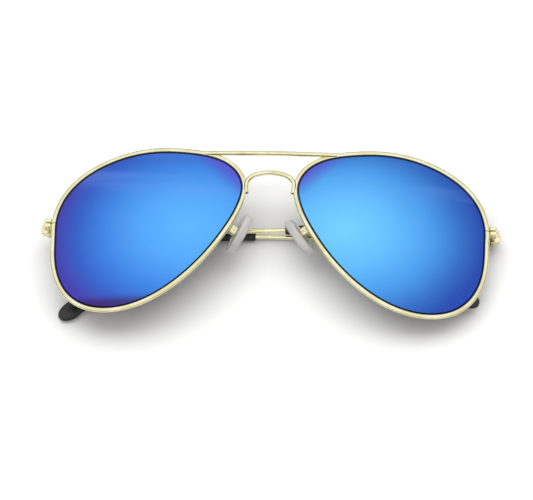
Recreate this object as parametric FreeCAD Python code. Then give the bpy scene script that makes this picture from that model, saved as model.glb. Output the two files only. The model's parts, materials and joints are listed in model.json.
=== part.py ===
import FreeCAD, Part
import math
import os

# Aviator sunglasses lying face up on the floor with the temples folded under the front.
# Each piece is drawn in the front's own frame: X across the face with the wearer's left
# on +X, Y up the front, Z out of the front. seat() then lays the whole set on the floor.
# All lengths are in millimetres and all angles in degrees.

V = FreeCAD.Vector

# Lens outline inside the rim, (towards the temple, up), from the lens centre.
LENS_OUTLINE = [
    (28.8, 0.0), (24.1, 13.9), (12.7, 21.9), (0.0, 25.3), (-14.4, 24.9),
    (-22.7, 22.7), (-28.5, 16.5), (-27.9, 7.5), (-24.5, 0.0), (-17.6, -10.1),
    (-10.1, -17.5), (0.0, -23.6), (14.7, -25.4), (22.1, -22.1), (26.8, -15.5),
]
LENS_CENTRE_X = 37.9      # half the distance between the lens centres
LENS_RADIUS = 120.0       # base curve of the lenses
WRAP = 5.0                # each lens turns towards the temple
LENS_FRONT = 0.0          # lens front surface against the base curve
LENS_THICK = 1.5
BEVEL_FRONT = -0.4        # front of the thin edge that sits in the rim groove
BEVEL_THICK = 0.6
BEVEL_OUT = 0.45
LENS_GAP = 0.04
OUTLINE_STEPS = 32
RING_LONG = 100.0         # only edges right round the lens are longer than this
WALL_LOW = -16.0          # reach of the wall that cuts lens and rim out of the shells
WALL_HIGH = 4.0
LENS_CHAMFER = 0.38

RIM_WIDTH = 1.4
RIM_FRONT = 0.65
RIM_BACK = -1.55
RIM_ROUND = 0.5
SLIT_Y = 2.3              # the rim is split here to take the lens
SLIT = 0.2

BLOCK_IN = 66.0           # closing blocks, one each side of the slit
BLOCK_OUT = 69.9
BLOCK_BACK = -8.4
BLOCK_FRONT = -5.3
BLOCK_HIGH = 1.3
BLOCK_ROUND = 0.35
SCREW_X = 69.0
SCREW_Z = -6.9
SCREW_R = 0.42
SCREW_HEAD_R = 0.75
SCREW_HEAD = 0.45
SCREW_SHORT = 0.4         # the screw stops this far inside the upper block
SLOT_WIDE = 0.26
SLOT_DEEP = 0.22

AXIS_X = 68.8             # hinge axis, parallel to Y
AXIS_Z = -12.5
KNUCKLE_R = 1.15
HINGE_LOW = 0.4
HINGE_HIGH = 4.2
MIDDLE_LOW = 1.7
MIDDLE_HIGH = 2.9
KNUCKLE_GAP = 0.08
SWEEP_R = 1.45            # full-height leaf metal stays outside this radius
PIN_R = 0.55
PIN_PLAY = 0.03
ARM_THICK = 1.2
ARM_FRONT = -9.4          # the end piece turns from the block to the hinge here
ARM_HIGH = 3.7            # top of the metal that joins block and hinge
PLATE_ROUND = 0.4
HEAD_R = 0.95
HEAD_HIGH = 0.5
LEAF_LONG = 5.5
END_LONG = 7.0            # flat end of the temple beside the hinge

FOLD_LEFT = -1.3          # the wearer's left temple lies underneath
FOLD_RIGHT = 0.9          # the right temple lies against the back of the front
SLOPE_LEFT = 0.85         # upward run of each temple from its hinge
SLOPE_RIGHT = 1.85
BEND_LEFT = 38.5          # downward bend behind the ear
BEND_RIGHT = 39.0
START_LEFT = 78.0         # where the bend starts, along the temple from the hinge axis
START_RIGHT = 82.0
WIRE_HIGH = 1.6
WIRE_THICK = 1.3
BEND_RADIUS = 50.0
TIP_START = 74.0
TIP_END = 133.2
CAP_START = 129.7
WIRE_END = 116.0
TIP_SLIM = 3.0
TIP_WIDE = 5.7
TIP_THICK = 2.4
TIP_LIP = 0.5
BOW_START = 60.0          # the end of the temple bows in towards the head
BOW = 2.8

BAR_R = 0.75
BRIDGE_R = 0.75
BAR_HALF = [(20.5, 25.35, -2.1), (15.0, 25.3, -1.8), (7.5, 25.3, -1.5)]
BAR_MIDDLE = (0, 25.3, -1.4)
BRIDGE_HALF = [
    (7.25, 11.9, -1.7), (7.3, 13.8, -1.7), (7.15, 15.7, -1.6),
    (6.2, 17.0, -1.45), (3.7, 18.15, -1.3),
]
BRIDGE_MIDDLE = (0, 18.65, -1.25)

PAD_CENTRE = (9.5, 0.2, -7.0)
PAD_LEAN = 28.0           # the upper ends of the pads lean together
PAD_SPLAY = 26.0
PAD_LONG = 13.6
PAD_WIDE = 7.0
PAD_BACK = -1.0
PAD_FACE = 1.6
PAD_ROUND = 0.8
ROCK_LEFT = -8.0          # how the loose pads happen to lie; a plus spreads their tops
ROCK_RIGHT = 4.0
PIVOT_Z = -2.1            # pad pivot behind the pad's middle
PAD_PIN_R = 0.3
PAD_HEAD_R = 0.5
LUG_HOLE_R = 0.36
BOX_LOW = (-1.3, -1.35, -3.2)
BOX_HIGH = (1.3, 1.35, -1.4)
BOX_WALL = 0.28
CAVITY_HALF = 0.68
PAD_ARM_R = 0.5
PAD_ARM = [(10.4, 5.2, -1.4), (10.9, 5.7, -3.2), (12.2, 5.2, -5.2), (13.3, 3.0, -6.9)]

TILT = 5.71               # front's slope on the floor
ROLL = 1.52


def box(low, high):
    """An upright box between two corners."""
    size = [b - a for a, b in zip(low, high)]
    return Part.makeBox(size[0], size[1], size[2], V(*low))


def rod(points, radius):
    """A round wire along a smooth curve through the points."""
    spine = Part.BSplineCurve()
    spine.interpolate([V(*p) for p in points])
    along = spine.tangent(spine.FirstParameter)[0]
    section = Part.Wire(Part.makeCircle(radius, V(*points[0]), along))
    return Part.Wire(spine.toShape()).makePipeShell([section], True, True)


def post(x, z, low, high, radius):
    """A cylinder along Y."""
    return Part.makeCylinder(radius, high - low, V(x, low, z), V(0, 1, 0))


# ---------------------------------------------------------------- lens and rim

def outline(offset, height):
    """The lens outline moved outwards by offset, spread from the sphere's centre to a height."""
    base = Part.BSplineCurve()
    base.interpolate([V(u, v, 0) for u, v in LENS_OUTLINE], PeriodicFlag=True)
    first = base.FirstParameter
    span = base.LastParameter - first
    points = []
    for i in range(OUTLINE_STEPS):
        at = first + span * i / OUTLINE_STEPS
        along = base.tangent(at)[0]
        out = V(along.y, -along.x, 0)
        point = base.value(at) + out * offset
        spread = (LENS_RADIUS + height) / math.sqrt(LENS_RADIUS ** 2 - point.Length ** 2)
        points.append(V(point.x * spread, point.y * spread, height))
    moved = Part.BSplineCurve()
    moved.interpolate(points, PeriodicFlag=True)
    return Part.Wire(moved.toShape())


def wedge(offset):
    """A solid inside the outline whose wall stands square to the lens all the way round."""
    return Part.makeLoft([outline(offset, WALL_LOW), outline(offset, WALL_HIGH)], True, True)


def shell(front, thick):
    """A spherical layer, concentric with the lens, front given against the base curve."""
    centre = V(0, 0, -LENS_RADIUS)
    outer = Part.makeSphere(LENS_RADIUS + front, centre, V(0, 1, 0))
    inner = Part.makeSphere(LENS_RADIUS + front - thick, centre, V(0, 1, 0))
    layer = outer.cut(inner)
    layer.rotate(centre, V(0, 1, 0), 180)   # keeps the seam away from the lens
    return layer


def place_lens(shape):
    """From the lens's own frame to the front's, on +X."""
    moved = shape.copy()
    moved.rotate(V(0, 0, 0), V(0, 1, 0), WRAP)
    moved.translate(V(LENS_CENTRE_X, 0, 0))
    return moved


def make_lens():
    body = wedge(-LENS_GAP).common(shell(LENS_FRONT, LENS_THICK))
    face_edge = max([e for e in body.Edges if e.Length > RING_LONG], key=lambda e: e.CenterOfMass.z)
    body = body.makeChamfer(LENS_CHAMFER, [face_edge])
    edge = wedge(BEVEL_OUT).common(shell(BEVEL_FRONT, BEVEL_THICK))
    return place_lens(body.fuse(edge).removeSplitter())


def make_core():
    """The rim's outer form, filled in; wires that are brazed to the rim stop at it."""
    disk = wedge(RIM_WIDTH).common(shell(RIM_FRONT, RIM_FRONT - RIM_BACK))
    return place_lens(disk.makeFillet(RIM_ROUND, [e for e in disk.Edges if e.Length > RING_LONG]))


def make_rim():
    ring = wedge(RIM_WIDTH).cut(wedge(0.0))
    body = ring.common(shell(RIM_FRONT, RIM_FRONT - RIM_BACK))
    body = body.makeFillet(RIM_ROUND, [e for e in body.Edges if e.Length > RING_LONG])
    groove = wedge(BEVEL_OUT).common(shell(BEVEL_FRONT, BEVEL_THICK))
    body = place_lens(body.cut(groove))
    slit = box((BLOCK_IN - 6, SLIT_Y - SLIT / 2, -12), (BLOCK_OUT + 5, SLIT_Y + SLIT / 2, 0))
    return body.cut(slit)


# ------------------------------------------------------- closing blocks, hinge

def make_block(inside, upper):
    """One of the two blocks beside the rim that the rim screw pulls together."""
    if upper:
        low = SLIT_Y + SLIT / 2
    else:
        low = SLIT_Y - SLIT / 2 - BLOCK_HIGH
    body = box((BLOCK_IN, low, BLOCK_BACK), (BLOCK_OUT, low + BLOCK_HIGH, BLOCK_FRONT))
    body = body.makeFillet(BLOCK_ROUND, body.Edges)
    top = low + BLOCK_HIGH + 1
    if upper:
        top = low + BLOCK_HIGH - SCREW_SHORT + 0.1
    hole = post(SCREW_X, SCREW_Z, low - 1, top, SCREW_R)
    return body.cut(inside).cut(hole)


def make_rim_screw():
    low = SLIT_Y - SLIT / 2 - BLOCK_HIGH
    high = SLIT_Y + SLIT / 2 + BLOCK_HIGH - SCREW_SHORT
    bottom = low - SCREW_HEAD
    head = post(SCREW_X, SCREW_Z, bottom, low, SCREW_HEAD_R)
    slot = box((SCREW_X - 1, bottom - 1, SCREW_Z - SLOT_WIDE / 2),
               (SCREW_X + 1, bottom + SLOT_DEEP, SCREW_Z + SLOT_WIDE / 2))
    return head.cut(slot).fuse(post(SCREW_X, SCREW_Z, low, high, SCREW_R)).removeSplitter()


def make_end_piece():
    """From the back of the upper block out to the hinge, with the two outer knuckles."""
    outer = AXIS_X + SWEEP_R + ARM_THICK
    inner = AXIS_X + SWEEP_R
    rear = AXIS_Z + 0.15
    leaf_front = AXIS_Z + SWEEP_R
    plate_front = leaf_front + 1.0
    low = SLIT_Y + SLIT / 2
    corners = [
        (BLOCK_OUT - 1.6, BLOCK_BACK), (BLOCK_OUT, BLOCK_BACK), (outer - 0.5, ARM_FRONT),
        (outer, ARM_FRONT - 0.8), (outer, rear), (inner, rear),
        (inner, plate_front - 0.4), (BLOCK_OUT - 1.6, ARM_FRONT),
    ]
    loop = Part.makePolygon([V(x, low, z) for x, z in corners + corners[:1]])
    arm = Part.Face(loop).extrude(V(0, ARM_HIGH - low, 0))
    plate = box((inner, HINGE_LOW, rear), (outer, HINGE_HIGH, plate_front))
    plate = plate.makeFillet(PLATE_ROUND, plate.Edges)
    leaf = box((AXIS_X - 0.3, HINGE_LOW, leaf_front), (inner + 0.3, HINGE_HIGH, plate_front))
    body = arm.fuse([plate, leaf]).removeSplitter()
    spans = [(HINGE_LOW, MIDDLE_LOW - KNUCKLE_GAP), (MIDDLE_HIGH + KNUCKLE_GAP, HINGE_HIGH)]
    for low, high in spans:
        web = box((AXIS_X, low, AXIS_Z), (inner + 0.3, high, leaf_front))
        body = body.fuse([web, post(AXIS_X, AXIS_Z, low, high, KNUCKLE_R)])
    body = body.removeSplitter()
    threaded = post(AXIS_X, AXIS_Z, HINGE_LOW - 1, MIDDLE_LOW, PIN_R)
    plain = post(AXIS_X, AXIS_Z, MIDDLE_LOW, HINGE_HIGH + 1, PIN_R + PIN_PLAY)
    return body.cut(threaded).cut(plain)


def make_hinge_screw():
    top = HINGE_HIGH + HEAD_HIGH
    head = post(AXIS_X, AXIS_Z, HINGE_HIGH, top, HEAD_R)
    head = head.makeFillet(0.2, [head.Edges[0]])
    slot = box((AXIS_X - 1.2, top - SLOT_DEEP, AXIS_Z - SLOT_WIDE / 2),
               (AXIS_X + 1.2, top + 1, AXIS_Z + SLOT_WIDE / 2))
    pin = post(AXIS_X, AXIS_Z, HINGE_LOW - 0.3, HINGE_HIGH, PIN_R)
    return head.cut(slot).fuse(pin).removeSplitter()


# ---------------------------------------------------------------------- temple

def temple_point(along, shape):
    """Centre of the temple at a distance along it, drawn folded on +X."""
    slope = math.radians(shape[0])
    bend = math.radians(shape[1])
    start = shape[2]
    bend_end = start + BEND_RADIUS * math.sin(bend)
    past = min(along, bend_end) - start
    drop = 0.0
    if past > 0:
        drop = BEND_RADIUS - math.sqrt(BEND_RADIUS ** 2 - past ** 2)
    drop += max(0.0, along - bend_end) * math.tan(bend)
    rise = math.tan(slope) * max(0.0, along - 8.0)
    bow = BOW * (max(0.0, along - BOW_START) / (TIP_END - BOW_START)) ** 2
    back = SWEEP_R + ARM_THICK / 2
    return V(AXIS_X - along, SLIT_Y + rise - drop, AXIS_Z - back + bow)


def oval(along, shape, high, thick):
    """An oval section across the temple."""
    here = temple_point(along, shape)
    ahead = temple_point(along + 0.2, shape) - temple_point(along - 0.2, shape)
    ahead.normalize()
    up = ahead.cross(V(0, 0, 1)) * -1.0
    up.normalize()
    side = ahead.cross(up)
    if high >= thick:
        major, minor, first, second = high / 2, thick / 2, up, side
    else:
        major, minor, first, second = thick / 2, high / 2, side, up
    curve = Part.Ellipse(here + first * major, here + second * minor, here)
    return Part.Wire(curve.toShape())


def make_temple(shape):
    """The metal temple: a flat end at the hinge, then a wire that runs on inside the tip."""
    inside = AXIS_Z - SWEEP_R
    end = box((AXIS_X - END_LONG, HINGE_LOW + 0.3, inside - ARM_THICK),
              (AXIS_X - 0.3, HINGE_HIGH - 0.3, inside))
    end = end.makeFillet(0.4, [e for e in end.Edges if e.Length > 3])
    spine = Part.BSplineCurve()
    stops = [6.0, 22.0, 40.0, BOW_START, TIP_START, 87.0, 100.0, WIRE_END]
    spine.interpolate([temple_point(along, shape) for along in stops])
    sweep = Part.BRepOffsetAPI.MakePipeShell(Part.Wire(spine.toShape()))
    sweep.setBiNormalMode(V(0, 0, 1))
    sweep.add(oval(stops[0], shape, WIRE_HIGH, WIRE_THICK))
    sweep.build()
    sweep.makeSolid()
    return end.fuse(sweep.shape()).removeSplitter()


def make_tip(shape, wire):
    """The plastic sleeve: slim at the front, a flat rounded paddle at the end."""
    sleeve = []
    for step in range(8):
        along = TIP_START + (CAP_START - TIP_START) * step / 7
        widen = 0.5 - 0.5 * math.cos(math.pi * step / 7)
        sleeve.append(oval(along, shape, TIP_SLIM + (TIP_WIDE - TIP_SLIM) * widen, TIP_THICK))
    cap = []
    for turn in (0, 20, 40, 60, 75, 84):
        reach = math.sin(math.radians(turn))
        shrink = math.cos(math.radians(turn))
        along = CAP_START + (TIP_END - CAP_START) * reach
        cap.append(oval(along, shape, TIP_WIDE * shrink, TIP_THICK * shrink ** 0.6))
    mouth = oval(TIP_START - TIP_LIP, shape, TIP_SLIM - TIP_LIP, TIP_THICK - TIP_LIP)
    collar = Part.makeLoft([mouth, sleeve[0]], True, True)
    body = Part.makeLoft(sleeve, True).fuse([collar, Part.makeLoft(cap, True)])
    return body.removeSplitter().cut(wire)


def make_temple_leaf():
    """The temple's half of the hinge, with the middle knuckle."""
    inner = AXIS_Z - SWEEP_R
    leaf = box((AXIS_X - LEAF_LONG, HINGE_LOW, inner),
               (AXIS_X - SWEEP_R, HINGE_HIGH, AXIS_Z - 0.35))
    leaf = leaf.makeFillet(0.3, [e for e in leaf.Edges if e.Length < 1.5])
    web = box((AXIS_X - SWEEP_R - 0.5, MIDDLE_LOW, inner), (AXIS_X, MIDDLE_HIGH, AXIS_Z))
    knuckle = post(AXIS_X, AXIS_Z, MIDDLE_LOW, MIDDLE_HIGH, KNUCKLE_R)
    body = leaf.fuse([web, knuckle]).removeSplitter()
    return body.cut(post(AXIS_X, AXIS_Z, HINGE_LOW, HINGE_HIGH, PIN_R + PIN_PLAY))


def fold(shape, angle):
    """Turn a piece of the +X temple about its hinge axis; a plus closes it further."""
    moved = shape.copy()
    moved.rotate(V(AXIS_X, 0, AXIS_Z), V(0, 1, 0), angle)
    return moved


# --------------------------------------------------------- bar, bridge, pads

def make_crosswire(half, middle, radius, cores):
    """A wire across the front, the same on both sides, that stops at both rims."""
    points = [(-x, y, z) for x, y, z in half] + [middle] + half[::-1]
    body = rod(points, radius)
    for core in cores:
        body = body.cut(core)
    return max(body.Solids, key=lambda s: s.Volume)


def place_pad(shape, rock=0.0):
    """From the pad's own frame (X up the pad, Z towards the nose) to the front's."""
    lean = math.radians(PAD_LEAN)
    splay = math.radians(PAD_SPLAY)
    up = V(-math.sin(lean), math.cos(lean), 0)
    nose = V(-math.cos(lean) * math.cos(splay), -math.sin(lean) * math.cos(splay), -math.sin(splay))
    across = nose.cross(up)
    moved = shape.copy()
    moved.rotate(V(0, 0, PIVOT_Z), V(0, 1, 0), rock)
    stand = FreeCAD.Placement(V(*PAD_CENTRE), FreeCAD.Rotation(up, across, nose, "ZXY"))
    moved.Placement = stand.multiply(moved.Placement)
    return moved


def make_pad_insert():
    plate = box((-3.4, -1.3, -0.35), (3.4, 1.3, 0.15))
    plate = plate.makeFillet(1.0, [e for e in plate.Edges if abs(e.Length - 0.5) < 0.01])
    lug = box((-0.75, -0.55, PIVOT_Z - 0.55), (0.75, 0.55, -0.2))
    hole = Part.makeCylinder(LUG_HOLE_R, 4, V(0, -2, PIVOT_Z), V(0, 1, 0))
    return plate.fuse(lug).removeSplitter().cut(hole)


def make_nose_pad(insert):
    long = PAD_LONG / 2
    wide = PAD_WIDE / 2
    loop = Part.Wire(Part.Ellipse(V(long, 0, 0), V(0, wide, 0), V(0, 0, 0)).toShape())
    body = Part.Face(loop).extrude(V(0, 0, PAD_FACE - PAD_BACK))
    body.translate(V(0, 0, PAD_BACK))
    body = body.makeFillet(PAD_ROUND, [e for e in body.Edges if e.Length > 10])
    return body.cut(insert)


def make_pad_box():
    body = box(BOX_LOW, BOX_HIGH)
    deep = BOX_HIGH[2] - BOX_LOW[2]
    body = body.makeFillet(0.3, [e for e in body.Edges if abs(e.Length - deep) < 0.01])
    cavity = box((BOX_LOW[0] + BOX_WALL, -CAVITY_HALF, BOX_LOW[2] + BOX_WALL),
                 (BOX_HIGH[0] - BOX_WALL, CAVITY_HALF, BOX_HIGH[2] + 1))
    hole = Part.makeCylinder(PAD_PIN_R, 4, V(0, -2, PIVOT_Z), V(0, 1, 0))
    return body.cut(cavity).cut(hole)


def make_pad_screw():
    wide = BOX_HIGH[1] - BOX_LOW[1]
    pin = Part.makeCylinder(PAD_PIN_R, wide, V(0, BOX_LOW[1], PIVOT_Z), V(0, 1, 0))
    head = Part.makeCylinder(PAD_HEAD_R, 0.3, V(0, BOX_HIGH[1], PIVOT_Z), V(0, 1, 0))
    return pin.fuse(head).removeSplitter()


def make_pad_arm(core, pad_box):
    """From the back of the rim round to the back of the pad box."""
    back = place_pad(Part.Vertex(0, 0, BOX_LOW[2] + 0.1)).Point
    points = PAD_ARM + [(back.x + 0.7, back.y + 0.3, back.z), (back.x, back.y, back.z)]
    return rod(points, PAD_ARM_R).cut(core).cut(pad_box)


# ------------------------------------------------------------------- assembly

def mirrored(shape):
    return shape.mirror(V(0, 0, 0), V(1, 0, 0))


def build_side(shape, angle, rock):
    """Every piece of one half, drawn on +X."""
    rim = make_rim()
    inside = place_lens(wedge(RIM_WIDTH))
    insert = make_pad_insert()
    pad_box = place_pad(make_pad_box())
    temple = make_temple(shape)
    return {
        "rim": rim,
        "lens": make_lens(),
        "closing_block_upper": make_block(inside, True),
        "closing_block_lower": make_block(inside, False),
        "rim_screw": make_rim_screw(),
        "end_piece": make_end_piece(),
        "hinge_screw": make_hinge_screw(),
        "temple_leaf": fold(make_temple_leaf(), angle),
        "temple": fold(temple, angle),
        "temple_tip": fold(make_tip(shape, temple), angle),
        "pad_arm": make_pad_arm(make_core(), pad_box),
        "pad_box": pad_box,
        "pad_screw": place_pad(make_pad_screw()),
        "pad_insert": place_pad(insert, rock),
        "nose_pad": place_pad(make_nose_pad(insert), rock),
    }


def seat(pieces):
    """Lay the glasses on the floor, middle of the box over the origin."""
    for shape in pieces.values():
        shape.rotate(V(0, 0, 0), V(0, 1, 0), ROLL)
        shape.rotate(V(0, 0, 0), V(1, 0, 0), TILT)
    whole = Part.makeCompound(list(pieces.values())).optimalBoundingBox(True, False)
    shift = V(-whole.Center.x, -whole.Center.y, -whole.ZMin)
    for shape in pieces.values():
        shape.translate(shift)
    return shift


def main():
    pieces = {}
    for name, shape in build_side((SLOPE_LEFT, BEND_LEFT, START_LEFT), FOLD_LEFT, ROCK_LEFT).items():
        pieces["left_" + name] = shape
    for name, shape in build_side((SLOPE_RIGHT, BEND_RIGHT, START_RIGHT), FOLD_RIGHT, ROCK_RIGHT).items():
        pieces["right_" + name] = mirrored(shape)
    cores = [make_core(), mirrored(make_core())]
    pieces["top_bar"] = make_crosswire(BAR_HALF, BAR_MIDDLE, BAR_R, cores)
    pieces["bridge"] = make_crosswire(BRIDGE_HALF, BRIDGE_MIDDLE, BRIDGE_R, cores)
    shift = seat(pieces)
    print("seated", [round(x, 3) for x in shift])
    os.makedirs("parts", exist_ok=True)
    for name, shape in pieces.items():
        solid = shape
        if len(shape.Solids) == 1:
            solid = shape.Solids[0]
        print(name, len(shape.Solids), round(shape.Volume, 2), shape.isValid())
        solid.exportStep("parts/" + name + ".step")


main()
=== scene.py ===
import json
import math

import bpy
from mathutils import Euler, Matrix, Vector

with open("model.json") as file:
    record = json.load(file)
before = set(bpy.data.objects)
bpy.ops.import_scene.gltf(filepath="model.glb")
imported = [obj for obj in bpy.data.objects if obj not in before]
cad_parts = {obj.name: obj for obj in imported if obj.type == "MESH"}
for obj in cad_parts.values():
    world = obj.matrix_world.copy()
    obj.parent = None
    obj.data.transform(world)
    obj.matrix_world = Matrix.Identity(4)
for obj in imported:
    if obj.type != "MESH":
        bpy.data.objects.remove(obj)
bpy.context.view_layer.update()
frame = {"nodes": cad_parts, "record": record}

# All lengths are in metres, and colours are linear.

# ------------------------------------------------------------------ camera, lights, floor
CAMERA_AZIMUTH = 9.567       # degrees round from the front
CAMERA_ELEVATION = 62.259    # degrees above the floor
CAMERA_ROLL = -7.939         # degrees
CAMERA_DISTANCE = 0.5517     # from the aim point
CAMERA_LENS = 121.714        # millimetres
SENSOR_WIDTH = 36.0          # millimetres
AIM = Vector((-0.00024, -0.00569, 0.012))

FLOOR_SIZE = 12.0
CEILING_PLACE = (0.0, 0.50, 1.05)
CEILING_SIZE = (2.4, 0.95)
CEILING_POWER = 20.5
FILL_PLACE = (-0.6, -0.9, 0.9)
FILL_SIZE = (0.8, 0.8)
FILL_POWER = 1.5
BACKDROP = (0.96, 0.96, 0.96, 1)

# ------------------------------------------------------------------------ lens colouring
# Each lens has a painted highlight: a bright spot where the reflection of the ceiling light is painted
# into its colour.
# The colour follows the distance from that spot, measured as a fraction of the way to the rim. The
# change from sky blue to indigo is partly the mirror coat's own colour and partly painted reflection
# that dims towards the rim. The wearer's left lens is painted brighter than the right, as painted
# light. Left and right are the wearer's.
PAINTED_HIGHLIGHT_X = 0.0235              # from the middle of the glasses
PAINTED_HIGHLIGHT_Y = -0.001
REACH_ACROSS = 0.043
REACH_ABOVE = 0.0335
REACH_BELOW = 0.0320
REACH_WAVE = 0.08            # how much the rings of colour waver
# Ramps of colour from the painted highlight out to the rim: partly the mirror coat's own colour, partly
# painted reflection. The left ramp is brighter, as painted light.
RIGHT_COAT_AND_PAINTED_REFLECTION = [
    (0.0, (0.110, 0.47, 1.0)), (0.35, (0.085, 0.38, 0.93)), (0.62, (0.050, 0.24, 0.78)),
    (0.85, (0.036, 0.120, 0.58)), (1.0, (0.062, 0.055, 0.44))]
LEFT_COAT_AND_PAINTED_REFLECTION = [
    (0.0, (0.180, 0.62, 1.0)), (0.35, (0.125, 0.50, 0.98)), (0.62, (0.070, 0.34, 0.84)),
    (0.85, (0.034, 0.155, 0.56)), (1.0, (0.022, 0.072, 0.44))]
CORNER_VIOLET = (0.105, 0.085, 0.62, 1)
CORNER_PER_OUT = -55.0       # the violet grows towards the top corner beside the nose
CORNER_PER_UP = 60.0
# Painted reflection: a dark red line along the foot of the right lens.
PAINTED_REFLECTION_RED = (0.050, 0.006, 0.075, 1)
PAINTED_RED_START = -0.0212          # the painted reflection, a dark red line at the foot of the right lens, starts here
PAINTED_RED_PER_UP = -330.0
# Painted reflection: faint wavy blue streaks in the upper part of each lens.
PAINTED_STREAK_BLUE = (0.16, 0.34, 0.92, 1)
PAINTED_STREAK_LOW = 0.008           # faint painted reflection streaks fade in between these heights
PAINTED_STREAK_HIGH = 0.016
CHAMFER_DARK = (0.012, 0.016, 0.055, 1)
CHAMFER_FACING = 0.86        # the chamfer faces less towards the front than this
FRONT_FACING = 0.3           # the coated side faces more towards the front than this
SMOKE_DARK = (0.020, 0.022, 0.026, 1)
SMOKE_LIGHT = (0.032, 0.033, 0.036, 1)


def grey(value):
    return (value, value, value)


class Nodes:
    """A small helper for building one node tree."""

    def __init__(self, tree):
        self.tree = tree
        tree.nodes.clear()

    def add(self, kind, **inputs):
        node = self.tree.nodes.new(kind)
        for key, value in inputs.items():
            self.feed(node.inputs[key], value)
        return node

    def feed(self, socket, value):
        if isinstance(value, bpy.types.NodeSocket):
            self.tree.links.new(value, socket)
        else:
            socket.default_value = value

    def math(self, operation, *values):
        node = self.tree.nodes.new("ShaderNodeMath")
        node.operation = operation
        for socket, value in zip(node.inputs, values):
            self.feed(socket, value)
        return node.outputs[0]

    def ramp(self, factor, stops, mode="EASE"):
        node = self.add("ShaderNodeValToRGB")
        ramp = node.color_ramp
        ramp.interpolation = mode
        while len(ramp.elements) < len(stops):
            ramp.elements.new(0.5)
        for element, (place, colour) in zip(ramp.elements, stops):
            element.position = place
            element.color = tuple(colour) + (1.0,)
        self.feed(node.inputs[0], factor)
        return node.outputs[0]

    def fade(self, factor, start, stop, most=1.0):
        """0 up to start, then rising to most at stop."""
        return self.ramp(factor, [(start, grey(0.0)), (stop, grey(most))])

    def mix(self, factor, first, second):
        node = self.tree.nodes.new("ShaderNodeMix")
        node.data_type = "RGBA"
        for name, value in (("Factor", factor), ("A", first), ("B", second)):
            self.feed(node.inputs[name], value)
        return node.outputs["Result"]

    def noise(self, scale, detail, stretch=None):
        place = self.add("ShaderNodeTexCoord").outputs["Object"]
        if stretch:
            place = self.add("ShaderNodeMapping", Vector=place, Scale=stretch).outputs[0]
        return self.add("ShaderNodeTexNoise", Vector=place, Scale=scale, Detail=detail).outputs["Fac"]

    def bump(self, height, strength, distance):
        node = self.add("ShaderNodeBump", Height=height, Strength=strength, Distance=distance)
        return node.outputs[0]


# ------------------------------------------------------------------------------ materials

def material(name):
    made = bpy.data.materials.new(name)
    made.use_nodes = True
    nodes = Nodes(made.node_tree)
    shader = nodes.add("ShaderNodeBsdfPrincipled")
    output = nodes.add("ShaderNodeOutputMaterial")
    made.node_tree.links.new(shader.outputs[0], output.inputs[0])
    return made, nodes, shader


def gold_material(name, light, dark, roughness):
    """Plated wire: soft clouding in colour and shine, with a faint drawn grain."""
    made, nodes, shader = material(name)
    clouds = nodes.noise(scale=160.0, detail=3.0)
    grain = nodes.noise(scale=5200.0, detail=1.0)
    wear = nodes.noise(scale=420.0, detail=4.0)
    shine = nodes.ramp(wear, [(0.3, grey(roughness * 0.75)), (0.7, grey(roughness * 1.3))])
    nodes.feed(shader.inputs["Base Color"], nodes.ramp(clouds, [(0.35, dark), (0.65, light)]))
    nodes.feed(shader.inputs["Roughness"], shine)
    nodes.feed(shader.inputs["Normal"], nodes.bump(grain, strength=0.12, distance=0.00001))
    shader.inputs["Metallic"].default_value = 1.0
    return made


def painted_highlight_reach(nodes, outward, height):
    """0 at the painted highlight of a lens, 1 where its colour is darkest and the painted reflection
    dimmest.
    """
    across = nodes.math("DIVIDE", nodes.math("SUBTRACT", outward, PAINTED_HIGHLIGHT_X), REACH_ACROSS)
    rise = nodes.math("SUBTRACT", height, PAINTED_HIGHLIGHT_Y)
    above = nodes.math("DIVIDE", nodes.math("MAXIMUM", rise, 0.0), REACH_ABOVE)
    below = nodes.math("DIVIDE", nodes.math("MINIMUM", rise, 0.0), REACH_BELOW)
    along = nodes.math("ADD", above, below)
    square = nodes.math("ADD", nodes.math("POWER", across, 2.0), nodes.math("POWER", along, 2.0))
    waver = nodes.math("SUBTRACT", nodes.noise(scale=45.0, detail=1.0), 0.5)
    return nodes.math("ADD", nodes.math("SQRT", square), nodes.math("MULTIPLY", waver, REACH_WAVE))


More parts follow.
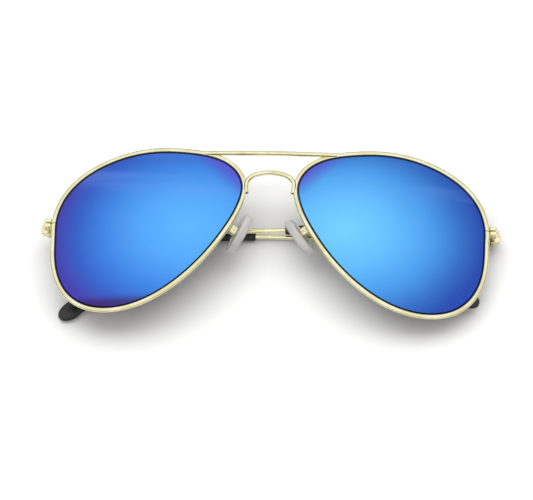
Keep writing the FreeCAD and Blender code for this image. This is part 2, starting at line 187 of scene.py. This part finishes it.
def lens_coat_and_painted_reflection(nodes, place, facing):
    """Sky blue at the painted highlight, indigo at the rim, with a violet corner beside the nose. The
    blue to indigo change is partly painted reflection.
    """
    height = place.outputs["Y"]
    outward = nodes.math("ABSOLUTE", place.outputs["X"])
    # painted highlight, dimming towards the rim: partly painted reflection, partly the coat's own
    # colour
    reach = painted_highlight_reach(nodes, outward, height)
    # the wearer's left lens takes the brighter ramp, which is painted light
    right = nodes.ramp(reach, RIGHT_COAT_AND_PAINTED_REFLECTION, "LINEAR")
    left = nodes.ramp(reach, LEFT_COAT_AND_PAINTED_REFLECTION, "LINEAR")
    on_left = nodes.math("GREATER_THAN", place.outputs["X"], 0.0)
    coat_and_painted_reflection = nodes.mix(on_left, right, left)

    out_part = nodes.math("MULTIPLY", outward, CORNER_PER_OUT)
    up_part = nodes.math("MULTIPLY", height, CORNER_PER_UP)
    corner = nodes.fade(nodes.math("ADD", out_part, up_part), 0.0, 0.55, most=0.85)
    coat_and_painted_reflection = nodes.mix(corner, coat_and_painted_reflection, CORNER_VIOLET)

    # painted reflection: a dark red line along the foot of the right lens
    painted_red_line = nodes.math("MULTIPLY", nodes.math("SUBTRACT", height, PAINTED_RED_START), PAINTED_RED_PER_UP)
    on_right = nodes.math("SUBTRACT", 1.0, on_left)
    painted_red_line = nodes.math("MULTIPLY", nodes.fade(painted_red_line, 0.0, 1.0, most=0.7), on_right)
    coat_and_painted_reflection = nodes.mix(painted_red_line, coat_and_painted_reflection, PAINTED_REFLECTION_RED)

    # painted reflection: faint wavy blue streaks in the upper part of each lens
    painted_ripple = nodes.fade(nodes.noise(scale=150.0, detail=2.0, stretch=(0.10, 1.0, 0.3)), 0.50, 0.68)
    painted_streak = nodes.math("MULTIPLY", painted_ripple, nodes.fade(height, PAINTED_STREAK_LOW, PAINTED_STREAK_HIGH, most=0.30))
    coat_and_painted_reflection = nodes.mix(painted_streak, coat_and_painted_reflection, PAINTED_STREAK_BLUE)
    return nodes.mix(nodes.math("LESS_THAN", facing, CHAMFER_FACING), coat_and_painted_reflection, CHAMFER_DARK)


def lens_material(name):
    """Blue mirror coat on the front, its colour holding painted reflection; smoke-grey glass behind."""
    made, nodes, shader = material(name)
    coords = nodes.add("ShaderNodeTexCoord")
    place = nodes.add("ShaderNodeSeparateXYZ", Vector=coords.outputs["Object"])
    facing = nodes.add("ShaderNodeSeparateXYZ", Vector=coords.outputs["Normal"]).outputs["Z"]
    front = nodes.math("GREATER_THAN", facing, FRONT_FACING)
    coat_and_painted_reflection = lens_coat_and_painted_reflection(nodes, place, facing)
    smoke = nodes.mix(nodes.noise(scale=90.0, detail=2.0), SMOKE_DARK, SMOKE_LIGHT)
    shine = nodes.math("MULTIPLY_ADD", nodes.noise(scale=30.0, detail=2.0), 0.04, 0.05)
    nodes.feed(shader.inputs["Base Color"], nodes.mix(front, smoke, coat_and_painted_reflection))
    nodes.feed(shader.inputs["Metallic"], front)
    nodes.feed(shader.inputs["Roughness"], shine)
    shader.inputs["Coat Weight"].default_value = 0.15
    shader.inputs["Coat Roughness"].default_value = 0.02
    return made


def tip_material(name):
    """Glossy black plastic with a slight haze."""
    made, nodes, shader = material(name)
    clouds = nodes.noise(scale=220.0, detail=4.0)
    colour = nodes.ramp(clouds, [(0.3, (0.012, 0.012, 0.014)), (0.7, (0.024, 0.023, 0.026))])
    shine = nodes.math("MULTIPLY_ADD", nodes.noise(scale=500.0, detail=3.0), 0.08, 0.26)
    grain = nodes.bump(nodes.noise(scale=2600.0, detail=2.0), strength=0.05, distance=0.000006)
    nodes.feed(shader.inputs["Base Color"], colour)
    nodes.feed(shader.inputs["Roughness"], shine)
    nodes.feed(shader.inputs["Normal"], grain)
    shader.inputs["Coat Weight"].default_value = 0.12
    shader.inputs["Specular IOR Level"].default_value = 0.35
    shader.inputs["Coat Roughness"].default_value = 0.12
    return made


def silicone_material(name):
    """Milky clear silicone."""
    made, nodes, shader = material(name)
    clouds = nodes.noise(scale=300.0, detail=3.0)
    colour = nodes.ramp(clouds, [(0.3, (0.86, 0.86, 0.87)), (0.7, (0.95, 0.95, 0.95))])
    shine = nodes.math("MULTIPLY_ADD", nodes.noise(scale=800.0, detail=3.0), 0.10, 0.20)
    nodes.feed(shader.inputs["Base Color"], colour)
    nodes.feed(shader.inputs["Roughness"], shine)
    shader.inputs["Transmission Weight"].default_value = 0.68
    shader.inputs["IOR"].default_value = 1.41
    return made


def floor_material(name):
    made, nodes, shader = material(name)
    clouds = nodes.noise(scale=6.0, detail=3.0)
    nodes.feed(shader.inputs["Base Color"], nodes.ramp(clouds, [(0.3, grey(0.69)), (0.7, grey(0.71))]))
    shader.inputs["Roughness"].default_value = 0.85
    return made


def dress_nodes():
    """Give every CAD part the material of its slot."""
    looks = {
        "gold_metal": gold_material("pale_gold", (0.93, 0.89, 0.62), (0.81, 0.755, 0.44), 0.14),
        "screw_steel": gold_material("screw_metal", (0.74, 0.68, 0.46), (0.60, 0.54, 0.34), 0.26),
        "mirror_lens": lens_material("blue_mirror_painted_reflection"),
        "dark_acetate": tip_material("black_acetate"),
        "clear_silicone": silicone_material("clear_silicone"),
    }
    slots = {part["node"]: part["material_slot"] for part in frame["record"]["subparts"]}
    for name, node in frame["nodes"].items():
        node.data.materials.clear()
        node.data.materials.append(looks[slots[name]])
        for polygon in node.data.polygons:
            polygon.use_smooth = True


# ---------------------------------------------------------------------------------- studio

def make_world():
    """A bright ceiling that fades towards the walls. The camera sees a plain backdrop."""
    world = bpy.data.worlds.new("studio")
    bpy.context.scene.world = world
    world.use_nodes = True
    nodes = Nodes(world.node_tree)
    around = nodes.add("ShaderNodeTexCoord").outputs["Generated"]
    up = nodes.add("ShaderNodeSeparateXYZ", Vector=around).outputs["Z"]
    sky = nodes.ramp(up, [
        (0.0, (0.07, 0.055, 0.03)), (0.28, (0.13, 0.11, 0.075)), (0.62, grey(0.95)), (1.0, grey(1.05))])
    seen = nodes.add("ShaderNodeLightPath").outputs["Is Camera Ray"]
    back = nodes.add("ShaderNodeBackground", Color=nodes.mix(seen, sky, BACKDROP), Strength=1.0)
    out = nodes.add("ShaderNodeOutputWorld")
    world.node_tree.links.new(back.outputs[0], out.inputs[0])


def area_light(name, place, size, power):
    """A soft rectangular light that points at the middle of the floor."""
    data = bpy.data.lights.new(name, "AREA")
    data.shape = "RECTANGLE"
    data.size, data.size_y = size
    data.energy = power
    light = bpy.data.objects.new(name, data)
    light.location = place
    light.rotation_euler = (-Vector(place)).to_track_quat("-Z", "Y").to_euler()
    light.visible_glossy = False
    bpy.context.collection.objects.link(light)


def make_floor():
    half = FLOOR_SIZE / 2
    corners = [(-half, -half, 0), (half, -half, 0), (half, half, 0), (-half, half, 0)]
    mesh = bpy.data.meshes.new("floor")
    mesh.from_pydata(corners, [], [(0, 1, 2, 3)])
    floor = bpy.data.objects.new("floor", mesh)
    mesh.materials.append(floor_material("pale_floor"))
    bpy.context.collection.objects.link(floor)


def make_camera():
    data = bpy.data.cameras.new("camera")
    data.lens = CAMERA_LENS
    data.sensor_width = SENSOR_WIDTH
    azimuth = math.radians(CAMERA_AZIMUTH)
    elevation = math.radians(CAMERA_ELEVATION)
    level = math.cos(elevation)
    towards = Vector((math.sin(azimuth) * level, -math.cos(azimuth) * level, math.sin(elevation)))
    roll = Euler((0, 0, math.radians(CAMERA_ROLL))).to_matrix()
    camera = bpy.data.objects.new("camera", data)
    camera.location = AIM + towards * CAMERA_DISTANCE
    camera.rotation_euler = (towards.to_track_quat("Z", "Y").to_matrix() @ roll).to_euler()
    bpy.context.collection.objects.link(camera)
    bpy.context.scene.camera = camera


def make_studio():
    bpy.context.scene.view_settings.view_transform = "Standard"
    make_world()
    make_floor()
    area_light("ceiling", CEILING_PLACE, CEILING_SIZE, CEILING_POWER)
    area_light("fill", FILL_PLACE, FILL_SIZE, FILL_POWER)
    make_camera()


dress_nodes()
make_studio()
